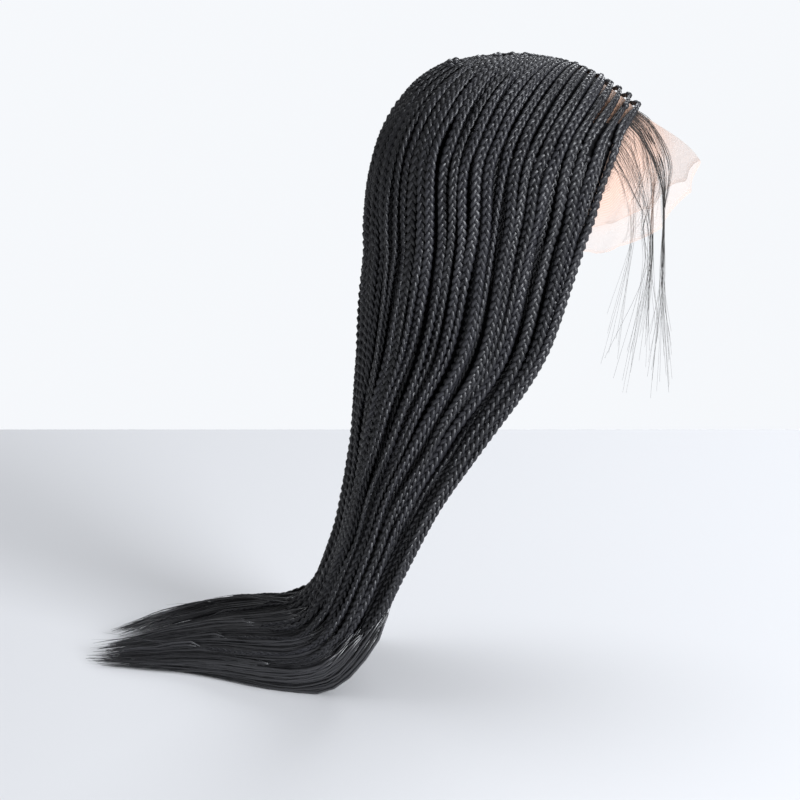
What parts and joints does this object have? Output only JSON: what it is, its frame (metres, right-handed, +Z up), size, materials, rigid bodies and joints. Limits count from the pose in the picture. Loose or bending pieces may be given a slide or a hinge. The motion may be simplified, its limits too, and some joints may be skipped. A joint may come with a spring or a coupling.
{
  "type": "braid wig",
  "caption": "Long lace-front wig of thin three-strand box braids, parted in the middle, gathered behind the shoulders with its loose tail out behind.",
  "frame": {"origin": "on the inside of the wig at the crown, where the head carries it", "axes": "+Z up out of the crown, -Y towards the wearer's face, +X to the wearer's left; the tail runs out towards +Y"},
  "size_m": [0.2211, 0.4793, 0.4855],
  "materials": {
    "cap_mesh": "matt black stretch mesh",
    "lace_net": "sheer skin-toned net",
    "braid_hair": "soft black synthetic hair, satin"
  },
  "bodies": {
    "root": {"wig_cap_right": "cap_mesh", "wig_cap_back": "cap_mesh", "wig_cap_left": "cap_mesh", "lace_front_right": "lace_net", "lace_front_middle": "lace_net", "lace_front_left": "lace_net", "right_lock_01": "braid_hair", "right_lock_02": "braid_hair", "right_lock_03": "braid_hair", "right_lock_04": "braid_hair", "right_lock_05": "braid_hair", "right_lock_06": "braid_hair", "right_lock_07": "braid_hair", "right_lock_08": "braid_hair", "right_lock_09": "braid_hair", "right_lock_10": "braid_hair", "right_lock_11": "braid_hair", "right_lock_12": "braid_hair", "left_lock_01": "braid_hair", "left_lock_02": "braid_hair", "left_lock_03": "braid_hair", "left_lock_04": "braid_hair", "left_lock_05": "braid_hair", "left_lock_06": "braid_hair", "left_lock_07": "braid_hair", "left_lock_08": "braid_hair", "left_lock_09": "braid_hair", "left_lock_10": "braid_hair", "left_lock_11": "braid_hair", "left_lock_12": "braid_hair"}
  },
  "joints": []
}
